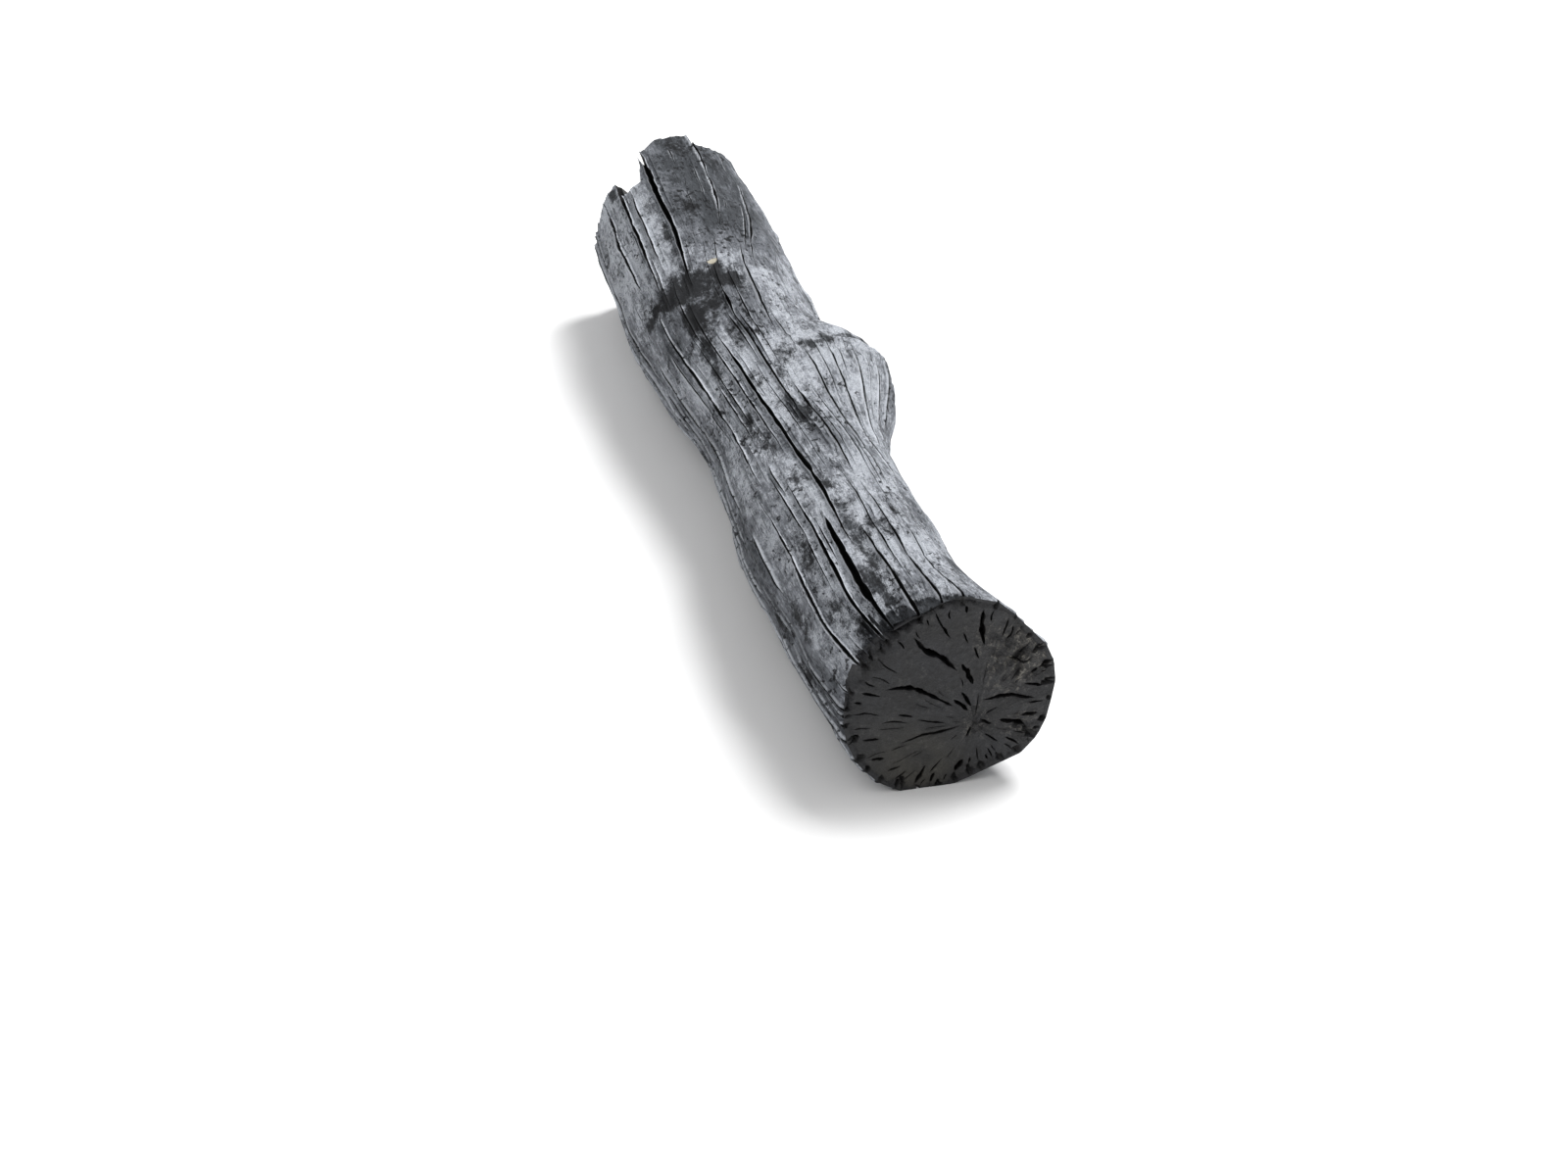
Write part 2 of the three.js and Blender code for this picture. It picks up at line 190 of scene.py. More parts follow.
strayWear = {"count": 46, "from": 170, "to": 395, "firstSeed": 700}  # and as much on the sides not shown
bites = {"angle": 124, "spread": 40, "everywhere": 0.6, "inBevel": 6}  # of dark wood, above the sawn face
creamSpeck = {"angle": 100, "at": 152.5, "spread": 4, "reach": 1.1}  # a chip of paler ash

# Where the side is darker or lighter, as (angle, spread, power), the distances between which that changes,
# and what it adds to the cover before and after them: painted shade with thinner ash along the lower left
# side, darker on top towards the snapped end, lighter on the far left
ashAndShadeZones = [
    ((205, 46, 4), (80, 140), (-0.5, -0.15)), ((74, 40, 3), (136, 188), (0, -1.05)),
    ((150, 30, 3), (150, 185), (0, 0.2)),
]
ashBand = {"angle": 124, "spread": 34, "at": 140, "reach": 14, "thinner": 0.4}
ashLimits = {"thinnest": 0.02, "thickest": 1.2}

# Lumps of several sizes laid over one another, as (height, how many round the stick, length, seed)
unevenness = {
    "grain": [(1.3, 14, 19, 3), (0.45, 24, 8.5, 5), (0.3, 48, 3.6, 9)],  # its heights are degrees
    "crackWidth": [(0.32, 90, 4.5, 21), (0.22, 90, 1.9, 23)],  # and these are shares of the width
    "side": [(0.16, 20, 9, 41), (0.1, 60, 5, 43), (0.06, 150, 3, 47)],
    "sawnFace": [(0.06, 60, 1.7, 91), (0.2, 9, 6, 95)],
    "snappedRim": [(0.7, 44, 1, 71), (0.22, 150, 1, 73)],
    "snappedFace": [(0.9, 26, 5, 101), (0.35, 60, 1.8, 103), (0.15, 140, 0.8, 105)],
}
skin = {"stripStep": 0.22, "lipHeight": 0.65, "wornDepth": 0.25, "brokenDepth": 0.9}

mesh = {
    "sideRows": 138, "nearRows": 16, "nearLength": 12, "snappedRings": 18, "woodStep": 0.42, "sharpAngle": 42,
}


def chance(seed):  # a repeatable random number from 0 to 1 for each seed
    mixed = np.sin(np.asarray(seed, float) * 127.1 + 311.7) * 43758.5453
    return mixed - np.floor(mixed)


def between(low, high, share):
    return low + (high - low) * share


def turnBetween(a, b):  # the smallest turn from one direction to another
    return (np.asarray(a) - b + 180) % 360 - 180


def swell(offset, width, power=2.6):  # 1 at a swelling's crown, falling to nothing past its width
    return np.exp(-np.abs(offset / width) ** power)


def smoothShare(value, low, high):
    t = np.clip((value - low) / (high - low), 0, 1)
    return t * t * (3 - 2 * t)


def roundNoise(angle, along, cells, reach, seed):
    # Smooth lumps from -1 to 1, so many round the stick and each so many millimetres long
    x, y = np.broadcast_arrays(np.asarray(angle) / 360 * cells, np.asarray(along) / reach)
    x0, y0 = np.floor(x), np.floor(y)
    fx, fy = smoothShare(x - x0, 0, 1), smoothShare(y - y0, 0, 1)
    total = np.zeros(x.shape)
    for i in (0, 1):
        for j in (0, 1):
            share = (fx if i else 1 - fx) * (fy if j else 1 - fy)
            total += share * chance(((x0 + i) % cells) * 1.31 + (y0 + j) * 57.13 + seed)
    return total * 2 - 1


def uneven(kind, angle, along):
    sizes = unevenness[kind]
    return sum(height * roundNoise(angle, along, cells, reach, seed) for height, cells, reach, seed in sizes)


def lineThrough(points, at):  # a smooth line through (place, value) points, level beyond its ends
    place, value = np.array(points, float).T
    slope = np.gradient(value, place)
    if len(place) > 2:
        slope[1:-1] = (value[2:] - value[:-2]) / (place[2:] - place[:-2])
    at = np.clip(at, place[0], place[-1])
    i = np.clip(np.searchsorted(place, at) - 1, 0, len(place) - 2)
    gap = place[i + 1] - place[i]
    t = (at - place[i]) / gap
    return (value[i] * (1 + 2 * t) * (1 - t) ** 2 + value[i + 1] * t * t * (3 - 2 * t)
            + slope[i] * gap * t * (1 - t) ** 2 + slope[i + 1] * gap * t * t * (t - 1))


def soundRadius(angle, s):  # before it cracked
    radius = lineThrough(stick["radiusLine"], s)
    for k in stick["knots"]:
        reach = np.where(s > k["at"], k["far"], k["near"])
        beside = swell(turnBetween(angle, k["angle"]), k["spread"])
        radius = radius + k["height"] * swell(s - k["at"], reach) * beside
    for loss in stick["losses"]:
        fade = np.exp(-(np.maximum(s, 0) / loss["reach"]) ** 1.5)
        radius = radius - loss["depth"] * fade * swell(turnBetween(angle, loss["angle"]), loss["spread"])
    lumps = stick["lumps"]
    turn = np.radians(angle)
    slow = 2 * np.pi * s / lumps["spacing"]
    return radius + lumps["height"] * (np.sin(3 * turn + slow) + np.sin(5 * turn - 1.7 * slow + 1))


def grainAngle(angle, s):  # where a line of the grain lies, with the small waver that cracks follow
    g, p = stick["grain"], stick["parting"]
    lean = g["lean"] + g["upperLean"] * np.cos(np.radians(angle - g["upperAngle"]))
    aside = turnBetween(angle, p["angle"])
    fan = p["turn"] * np.tanh(aside / p["blend"]) * np.cos(np.radians(aside / 2))
    leaning = lean * np.cos(2 * np.pi * (s - g["crest"]) / g["wavelength"])
    return angle + leaning + fan * smoothShare(s, p["from"], p["to"]) + uneven("grain", angle, s)


def makeRuns(seed, shape):  # openings one after another along a crack
    runs = []
    s = between(-45, 5, chance(seed + 1))
    n = 2
    while s < stick["length"]:
        run = between(shape["shortest"], shape["longest"], chance(seed + n))
        width = between(shape["narrowest"], shape["widest"], chance(seed + n + 1) ** 2)
        runs.append((s, s + run, width))
        s += run + shape["gap"] * chance(seed + n + 2)
        n += 3
    return runs


def makeSeams():  # every crack line round the stick, as (angle, openings, is it a main crack)
    main = [(angle, runs) for angle, runs in shownCracks]
    h, e = hiddenCracks, hiddenEnds
    step = (h["to"] - h["from"]) / (h["count"] - 1)
    for k in range(h["count"]):
        seed = h["firstSeed"] + 40 * k
        reach = between(e["shortest"], e["longest"], chance(seed + 0.2) ** 2)
        split = (-reach, reach, between(e["narrowest"], e["widest"], chance(seed + 0.4)))
        angle = h["from"] + step * k + h["jitter"] * (chance(seed) - 0.5)
        main.append((angle, [split] + makeRuns(seed, hiddenOpening)))
    found = []
    for k, (angle, runs) in enumerate(main):
        found.append((angle, runs, True))
        gap = (main[(k + 1) % len(main)][0] - angle) % 360
        if gap > hairCracks["leastGap"]:
            few, fewUpTo = hairCracks["few"], hairCracks["fewUpTo"]
            runs = makeRuns(5000 + 71 * k, hairCracks)
            runs = [run for run in runs if run[0] > fewUpTo or chance(run[0]) < few]
            found.append((angle + gap * between(0.35, 0.65, chance(51 + k * 3)), runs, False))
    return found


def wedgeReach(angle):
    for first, last, reach, lastReach in wedges:
        along = (angle - first) % 360 / ((last - first) % 360)
        if along < 1:
            return between(reach, lastReach, along)
    return snapped["heart"]


seams = makeSeams()
seamAngle = np.array([seam[0] for seam in seams])
print("crack lines:", len(seams))


# The mesh's columns: across each crack from lip to lip, then across the wood up to the next crack
def makeColumns():
    made = []
    for k, (angle, runs, main) in enumerate(seams):
        for u in ((-1, -0.78, 0, 0.78, 1) if main else (-1, 0, 1)):
            made.append((k, u, 0, True))
        gap = (seamAngle[(k + 1) % len(seams)] - angle) % 360
        shown = angle % 360 < 175
        steps = max(round(math.radians(gap) * stick["middleRadius"] / mesh["woodStep"]), 3 if shown else 2)
        for n in range(1, steps):
            t = n / steps
            made.append((k, 0, t - 0.07 * math.sin(2 * math.pi * t), False))
    return made


columns = makeColumns()
seamOf = np.array([column[0] for column in columns])
across = np.array([column[1] for column in columns], float)
woodShare = np.array([column[2] for column in columns], float)
inCrack = np.array([column[3] for column in columns])
nextSeam = (seamOf + 1) % len(seams)
nextTurn = np.where(nextSeam < seamOf, 360, 0)  # the last wood strip ends a whole turn on
edgeNearness = np.abs(2 * woodShare - 1)  # 1 at a crack's lip, 0 in the middle of the wood
edgeNearness[inCrack] = 1
strip = np.where(inCrack & (across < 0), (seamOf - 1) % len(seams), seamOf)  # the wood beside each column
columnCount = len(columns)
print("columns:", columnCount)


def opening(seam, s):  # how wide each crack stands open, for whole arrays of places
    width = np.zeros(s.shape)
    for k in np.unique(seam):
        mine = seam == k
        here = s[:, mine]
        ragged = 0.85 + uneven("crackWidth", seamAngle[k], here)
        best = np.zeros(here.shape)
        for start, end, widest in seams[k][1]:
            t = np.abs((2 * here - start - end) / (end - start))
            best = np.maximum(best, np.where(t < 1, widest * (1 - np.minimum(t, 1) ** 2.5), 0))
        width[:, mine] = best * ragged
    return width


def seamPlace(seam, turn, s):  # middle angle and half width in degrees of each column's crack
    width = opening(seam, s)
    half = np.maximum(width / 2, crackShape["leastHalfWidth"])
    return grainAngle(seamAngle[seam], s) + turn, np.degrees(half / stick["middleRadius"]), width


def makeStrayPatches():
    w = strayWear
    patches = []
    for n in range(w["count"]):
        seed = w["firstSeed"] + 5.3 * n
        patches.append((between(w["from"], w["to"], chance(seed)), between(4, 218, chance(seed + 1)),
                        between(3, 10, chance(seed + 2)), between(2, 9, chance(seed + 3)),
                        between(0.6, 1.1, chance(seed + 4))))
    return patches


strayPatches = makeStrayPatches()


def wornShare(angle, s):
    worn = np.zeros(np.broadcast(angle, s).shape)
    for a, at, spread, reach, strength in wornPatches + strayPatches:
        away = (turnBetween(angle, a) / spread) ** 2 + ((s - at) / reach) ** 2
        worn = np.maximum(worn, strength * np.exp(-away))
    return worn


def collarLedge(angle, s):  # the bark grew over the big knot and ends there in a ledge
    c = stick["collar"]
    edge = c["at"] + 1.2 * roundNoise(angle, 0, 40, 1, 35)
    behind = np.exp(-np.maximum(edge - s, 0) / c["reach"]) * smoothShare(edge - s, -0.9, 0.9)
    return c["height"] * behind * swell(turnBetween(angle, c["angle"]), c["spread"])


def sawnPlane(height):  # how far back the leaning sawn face lies at a height
    return height * math.tan(math.radians(stick["sawnTilt"]))


def brokenShare(angle, s, nearCrack):  # bites out of the wood just above the sawn face, between raised lips
    b = bites
    plane = sawnPlane(stick["axisHeight"] + stick["middleRadius"] * np.sin(np.radians(angle)))
    zone = swell(turnBetween(angle, b["angle"]), b["spread"], 3)
    reach = b["everywhere"] + b["inBevel"] * zone * between(0.5, 1, chance(strip * 2.9 + 70))
    reach = reach * (1 - 0.8 * nearCrack) * (1 + 0.3 * roundNoise(angle, s, 50, 2.4, 67))
    return smoothShare(reach - (s - plane), -1, 0.8)


def sideSkin(s):
    # Points of the side for a grid of distances, with what the finish needs to know at each
    middle, halfWidth, width = seamPlace(seamOf, 0, s)
    nextMiddle, nextHalf, nextWidth = seamPlace(nextSeam, nextTurn, s)
    crackAngle = middle + across * halfWidth
    woodAngle = between(middle + halfWidth, nextMiddle - nextHalf, woodShare)
    angle = np.where(inCrack, crackAngle, woodAngle)
    shallow = crackShape["leastDepth"] * np.minimum(width / 0.15, 1)
    depth = np.clip(width * crackShape["depthPerWidth"], shallow, crackShape["deepest"])
    depth = np.where(width > 0.04, depth, 0)
    floorShare = np.select([np.abs(across) > 0.99, np.abs(across) > 0.5], [0, 0.7], 1)
    inset = np.where(inCrack, depth * floorShare, 0)
    stripOffset = skin["stripStep"] * roundNoise(seamAngle[seamOf], s, 97, 24, 31)
    mine, following = width * (inCrack | (woodShare <= 0.5)), nextWidth * (woodShare > 0.5)
    beside = np.clip(np.maximum(mine, following) / 0.5, 0, 1)
    # How near each column lies to an open crack's lip: it raises the lip, and the finish paints a highlight
    # along it
    lip = beside * edgeNearness ** 2.6
    worn = wornShare(angle, s)
    broken = brokenShare(angle, s, beside * edgeNearness ** 2)
    ragged = worn + 0.35 * roundNoise(angle, s, 44, 2.2, 53)
    radius = (soundRadius(angle, s) - inset + skin["lipHeight"] * lip + np.where(inCrack, 0, stripOffset)
              + uneven("side", angle, s) + collarLedge(angle, s)
              - skin["wornDepth"] * smoothShare(ragged, 0.35, 0.9) - skin["brokenDepth"] * broken)
    turn = np.radians(angle)
    x = lineThrough(stick["middleLine"], s) + radius * np.cos(turn)
    z = np.maximum(stick["axisHeight"] + radius * np.sin(turn), 0)
    # Painted shade in the cracks: every crack column darkens a little, the more the wider it opens, and more
    # down its floor with depth
    crackEdgeShade = np.where(inCrack, 0.3 * np.clip(width / 0.25, 0, 1), 0)
    facts = {
        "angle": angle, "worn": worn, "lip": lip, "broken": broken, "inset": inset,
        "grooveShade": np.maximum(np.clip(inset / 0.9, 0, 1), crackEdgeShade),
    }
    return np.stack([x, s, z], -1), facts


def rimStarts():  # where each column meets the sawn face, whose edge has crumbled back
    c = stick["crumbling"]
    points, facts = sideSkin(np.zeros((1, columnCount)))
    angle = facts["angle"][0]
    inBevel = swell(turnBetween(angle, stick["losses"][0]["angle"]), c["spread"])
    lost = np.clip(0.45 + 0.9 * roundNoise(angle, 0, c["bites"], 1, 61), 0, 1) ** 1.5
    tooth = (c["everywhere"] + c["inBevel"] * inBevel) * (0.6 * lost + 0.4 * chance(strip * 3.7 + 500))
    grit = c["grit"] * np.abs(roundNoise(angle, 0, 120, 1, 63)) * (1 + c["grittier"] * inBevel)
    notch = np.where(inCrack, np.minimum(facts["inset"][0] * 0.5, 1.2), 0)  # an open crack cuts the edge back
    return sawnPlane(points[0, :, 2]), tooth * (1 - 0.75 * edgeNearness ** 3) + grit, notch


def rimEnds():  # how far each column reaches at the snapped end
    nudge = np.where(inCrack, across, 0) * 0.01
    angle = seamAngle[seamOf] + nudge + woodShare * ((seamAngle[nextSeam] - seamAngle[seamOf]) % 360)
    reach = np.array([wedgeReach(a) for a in angle])
    splinter = snapped["splinters"] * (0.6 * chance(strip * 5.3 + 900) + 0.4)
    return reach - splinter - snapped["inset"] - uneven("snappedRim", angle, 0)


def sidePlaces():  # distance along the stick of each row, for each column
    length = stick["length"]
    near = np.linspace(0, mesh["nearLength"], mesh["nearRows"], endpoint=False)
    rest = np.linspace(mesh["nearLength"], length, mesh["sideRows"])
    nominal = np.concatenate([near, rest])[:, None]
    startAt = planeAt + crumbledAt + notchAt
    s = nominal + startAt * np.maximum(1 - nominal / stick["sawnStretch"], 0) ** 2
    past = np.clip((nominal - (length - snapped["stretch"])) / snapped["stretch"], 0, 1)
    return s + (endAt - length) * past ** 2


def pithPlace(s):
    return lineThrough(stick["middleLine"], s) + stick["pith"][0], stick["axisHeight"] + stick["pith"][1]


def centreLine(points):  # evenly spaced places along a crack of an end, from (distance, angle) points
    knots = np.array([(d * math.cos(math.radians(a)), d * math.sin(math.radians(a))) for d, a in points])
    along = np.concatenate([[0], np.cumsum(np.hypot(*np.diff(knots, axis=0).T))])
    count = max(round(along[-1] / faceShape["pointStep"]), faceShape["fewestPoints"] + 1)
    t = np.linspace(0, along[-1], count)
    return np.stack([lineThrough(np.stack([along, knots[:, k]], 1), t) for k in (0, 1)], 1)


def crackOutlines(middle, widest, seed):  # a lens round a centre line, and the foot of its walls inside it
    count = len(middle)
    t = np.linspace(0, 1, count)
    step = np.gradient(middle, axis=0)
    side = np.stack([-step[:, 1], step[:, 0]], 1) / np.hypot(*step.T)[:, None]
    depth = min(faceShape["leastDepth"] + widest * faceShape["depthPerWidth"], faceShape["deepest"])
    depths = (depth * (1 - np.abs(2 * t - 1) ** 4) * (0.7 + 0.3 * chance(seed * 3 + t * 57)))[1:-1]
    edges, feet = [], []
    for sign, turn in ((1, 7.3), (-1, 11.9)):
        along = t * count * faceShape["pointStep"]
        wander = 0.62 + 0.42 * roundNoise(seed * turn, along, 97, 1.1, 81)
        wander = wander + 0.3 * chance(seed * turn + t * 91)
        half = np.maximum(widest / 2 * (1 - np.abs(2 * t - 1) ** 3) * wander, 0.02)
        inner = np.maximum(half - faceShape["wall"], half * 0.4)
        edges.append((middle + sign * side * half[:, None])[1:-1])
        feet.append((middle + sign * side * inner[:, None])[1:-1])
    outer = np.concatenate([middle[:1], edges[0], middle[-1:], edges[1][::-1]])
    foot = np.concatenate([feet[0], feet[1][::-1]])
    return outer, foot, np.concatenate([depths, depths[::-1]])


def clearRun(middle, halfWidth, rimAt):  # the longest run of a centre line that keeps clear of the rim
    clear = insideRim(middle, rimAt) & (nearestOf(middle, rimAt)[0] > halfWidth + faceShape["clear"])
    best, start = (0, 0), None
    for i, free in enumerate(list(clear) + [False]):
        if free and start is None:
            start = i
        if not free and start is not None:
            best = max(best, (i - start, -start))
            start = None
    return middle[-best[1]:-best[1] + best[0]]


def rimSlitLines(rimAt):
    lines = []
    r = rimSlits
    for n in range(r["count"]):
        angle = 360 / r["count"] * (n + r["jitter"] * (chance(n * 2.3 + 7) - 0.5))
        k = np.argmin(np.abs(turnBetween(np.degrees(np.arctan2(rimAt[:, 1], rimAt[:, 0])), angle)))
        far = math.hypot(*rimAt[k]) - between(r["nearest"], r["farthest"], chance(n * 3.1 + 2))
        run = between(r["shortest"], r["longest"], chance(n * 1.7 + 3) ** 1.5)
        bend = r["bend"] * (chance(n + 0.5) - 0.5)
        width = between(r["narrowest"], r["widest"], chance(n * 4.1 + 9) ** 1.5)
        lines.append(([(far, angle), (far - run / 2, angle + bend), (far - run, angle + bend / 2)], width))
    return lines


def rayLines():  # fine cracks along the rays, from the pith outwards
    lines = []
    r = rays
    for n in range(r["count"]):
        angle = 360 / r["count"] * n * 7 + r["jitter"] * chance(n * 1.9 + 4)
        near = between(r["nearest"], r["farthest"], chance(n * 2.7 + 1))
        far = near + between(r["shortest"], r["longest"], chance(n * 3.3 + 5))
        bend = r["bend"] * (chance(n + 0.3) - 0.5)
        width = between(r["narrowest"], r["widest"], chance(n * 5.1 + 2) ** 2)
        lines.append(([(near, angle), ((near + far) / 2, angle + bend), (far, angle)], width))
    return lines


def nearestOf(places, others):  # distance to and number of the nearest of some other places
    gaps = np.hypot(places[:, None, 0] - others[None, :, 0], places[:, None, 1] - others[None, :, 1])
    return gaps.min(1), gaps.argmin(1)


def insideRim(places, rimAt):
    turn, away = np.arctan2(places[:, 1], places[:, 0]), np.hypot(*places.T)
    rimTurn, rimAway = np.arctan2(rimAt[:, 1], rimAt[:, 0]), np.hypot(*rimAt.T)
    order = np.argsort(rimTurn)
    return away < np.interp(turn, rimTurn[order], rimAway[order], period=2 * math.pi)


def scatteredPlaces(rimAt):  # loose rows of places over a whole end
    low, high = rimAt.min(0), rimAt.max(0)
    spacing = faceShape["spacing"]
    rowStep = spacing * 0.87
    row, column = np.meshgrid(np.arange(math.ceil((high[1] - low[1]) / rowStep)),
                              np.arange(math.ceil((high[0] - low[0]) / spacing)), indexing="ij")
    loose = np.stack([low[0] + spacing * (column + row % 2 / 2), low[1] + rowStep * row], -1)
    loose = loose.reshape(-1, 2)
    return loose + spacing * 0.3 * (chance(np.arange(loose.size)).reshape(-1, 2) - 0.5)


def sawnOutlines(rimAt):  # the rim, the outlines of the cracks inside it, and places between them
    count = len(rimAt)
    loops, cuts = [rimAt], [np.full(count, faceShape["rimCut"])]
    laid = np.zeros((0, 2))
    loose = scatteredPlaces(rimAt)
    free = insideRim(loose, rimAt) & (nearestOf(loose, rimAt)[0] > 0.3)
    for n, (line, widest) in enumerate(faceCracks + rimSlitLines(rimAt) + rayLines()):
        middle = clearRun(centreLine(line), widest / 2, rimAt)
        if len(middle) < faceShape["fewestPoints"]:
            continue
        if n >= len(faceCracks) and nearestOf(middle, laid)[0].min() < widest / 2 + faceShape["apart"]:
            continue
        outer, foot, depths = crackOutlines(middle, widest, n)
        loops += [outer, foot]
        cuts += [np.full(len(outer), faceShape["edgeCut"]), depths]
        laid = np.concatenate([laid, outer])
        free &= nearestOf(loose, middle)[0] > widest / 2 + 0.2
    return loops, cuts, loose[free]


def sawnFace(rim):
    # The sawn face as triangles between the rim and its cracks, so that each crack has a crisp edge
    heart = np.array(pithPlace(0))
    rimAt = rim[:, [0, 2]] - heart
    count = len(rimAt)
    loops, cuts, loose = sawnOutlines(rimAt)
    edges, total = [], 0
    for loop in loops:
        edges += [(total + k, total + (k + 1) % len(loop)) for k in range(len(loop))]
        total += len(loop)
    given = [Vector(place) for place in np.concatenate(loops + [loose]).tolist()]
    cut = np.concatenate(cuts + [np.zeros(len(loose))])
    made, _, triangles, ids = delaunay_2d_cdt(given, edges, [], 1, 1e-7, True)[:4]
    places = np.array([tuple(place) for place in made])
    source = np.array([own[0] if own else -1 for own in ids])
    onRim = (source >= 0) & (source < count)
    cut = np.where(source >= 0, cut[source], 0)
    gap, nearest = nearestOf(places, rimAt)
    bite = crumbledAt[nearest]
    turn, away = np.degrees(np.arctan2(places[:, 1], places[:, 0])), np.hypot(*places.T)
    chipWidth = np.maximum((0.4 + 1.6 * bite) * (1 + 0.9 * roundNoise(turn, away, 70, 1.6, 99)), 0.2)
    chip = bite * np.clip(1 - gap / chipWidth, 0, 1) ** 1.3
    crumbly = crumblyPith["strength"] * swell(away, crumblyPith["reach"])
    for angle, spread, at, reach, strength in crumblyParts:
        crumbly = crumbly + strength * swell(turnBetween(turn, angle), spread) * swell(away - at, reach)
    e = earthyPart
    earthy = swell(turnBetween(turn, e["angle"]), e["spread"]) * swell(away - e["away"], e["reach"])
    lumps = roundNoise(turn, away, 58, 1.7, 97)
    gaps = np.clip(crumbly, 0, 1) * smoothShare(-lumps, 0.3, 0.8)
    grit = (uneven("sawnFace", turn, away) + crumbly * (0.3 - 1.1 * lumps)
            + 0.16 * roundNoise(turn, away, 52, 7, 93) * smoothShare(away, 2, 8))
    z = places[:, 1] + heart[1]
    y = sawnPlane(z) + chip + cut + grit * np.clip(gap / 1.2, 0, 1)
    points = np.stack([places[:, 0] + heart[0], y, z], 1)
    print("sawn face:", len(triangles), "triangles, rim kept:", len(np.unique(source[onRim])) == count)
    # Painted shade: near-black down each crack, a soft halo round its edge, and darker in the hollows between
    # the crumbs
    grooveShade = np.clip(cut / 0.5 + 0.45 * gaps, 0, 1)
    facts = endFacts(grooveShade, places[:, 0], places[:, 1], crumbly, earthy)
    return points, np.where(onRim, source, -1), np.array(triangles), facts


def endFacts(grooveShade, x, z, crumbly, earthy):
    away = np.hypot(x, z)
    steady = np.maximum(away, 0.01)
    return {"grooveShade": grooveShade, "fromPith": away, "rayX": x / steady, "rayZ": z / steady, "crumbly": crumbly,
            "earthy": earthy}


def carved(x, z, cracks):  # how deep the cracks cut at points of the snapped end
    deepest = np.zeros(x.shape)
    for line, widest in cracks:
        middle = centreLine(line)
        depth = min(faceShape["leastDepth"] + widest * faceShape["depthPerWidth"], faceShape["deepest"])
        for n, place in enumerate(middle):
            half = widest / 2 * (1 - abs(2 * n / (len(middle) - 1) - 1) ** 3)
            off = np.hypot(x - place[0], z - place[1])
            deepest = np.maximum(deepest, depth * np.clip((half - off) / 0.3 + 0.5, 0, 1))
    return deepest


def snappedFace(rim):  # rings from the rim to the pith, rough along the grain, with split cracks
    shares = (1 - np.linspace(0, 1, mesh["snappedRings"] + 2)[1:-1] ** 1.1)[:, None]
    heart = pithPlace(snapped["heart"])
    x, z = (rim[:, 0] - heart[0]) * shares, (rim[:, 2] - heart[1]) * shares
    turn, away = np.degrees(np.arctan2(z, x)), np.hypot(x, z)
    cracks = []
    c = snappedCracks
    for n in range(c["count"]):
        angle = 360 / c["count"] * n + c["jitter"] * chance(n + 40)
        inner = between(c["nearest"], c["farthest"], chance(n + 50))
        outer = inner + between(c["shortest"], c["longest"], chance(n + 60))
        bend = c["bend"] * (chance(n + 80) - 0.5)
        line = [(inner, angle), ((inner + outer) / 2, angle + bend), (outer, angle)]
        cracks.append((line, between(c["narrowest"], c["widest"], chance(n + 70))))
    cut = carved(x, z, cracks)
    fade = np.minimum(shares * 2, 1) * np.minimum((1 - shares) * 12, 1)
    rough = snapped["rough"] * fade * uneven("snappedFace", turn, away)
    y = snapped["heart"] + (rim[:, 1] - snapped["heart"]) * shares ** 0.7 + rough - cut
    points = np.stack([x + heart[0], y, z + heart[1]], -1)
    # Painted shade down the split cracks, darker with their depth
    return points, endFacts(np.clip(cut / 0.9, 0, 1), x, z, away * 0, away * 0)


planeAt, crumbledAt, notchAt = rimStarts()
endAt = rimEnds()
places = sidePlaces()
sidePoints, sideFacts = sideSkin(places)
sawnPoints, sawnRim, sawnTriangles, sawnFacts = sawnFace(sidePoints[0])
snappedPoints, snappedFacts = snappedFace(sidePoints[-1])
print("skin worked out")


def ashCoverAndShade():  # how thickly the ash lies, with painted shade along the lower left side, where it lies thin too, and darker on top towards the snapped end
    angle = sideFacts["angle"]
    coverAndShade = 1 + 0.25 * roundNoise(angle, places, 7, 34, 111)
    coverAndShade = coverAndShade + 0.12 * roundNoise(seamAngle[seamOf], places, 97, 45, 113)
    for (middle, spread, power), (start, end), (before, after) in ashAndShadeZones:
        change = between(before, after, smoothShare(places, start, end))
        coverAndShade = coverAndShade + change * swell(turnBetween(angle, middle), spread, power)
    b = ashBand
    band = swell(turnBetween(angle, b["angle"]), b["spread"], 3) * swell(places - b["at"], b["reach"])
    return np.clip(coverAndShade - b["thinner"] * band, ashLimits["thinnest"], ashLimits["thickest"])


def creamShare():
    c = creamSpeck
    aside = turnBetween(sideFacts["angle"], c["angle"]) / c["spread"]
    return np.exp(-aside ** 2 - ((places - c["at"]) / c["reach"]) ** 2)


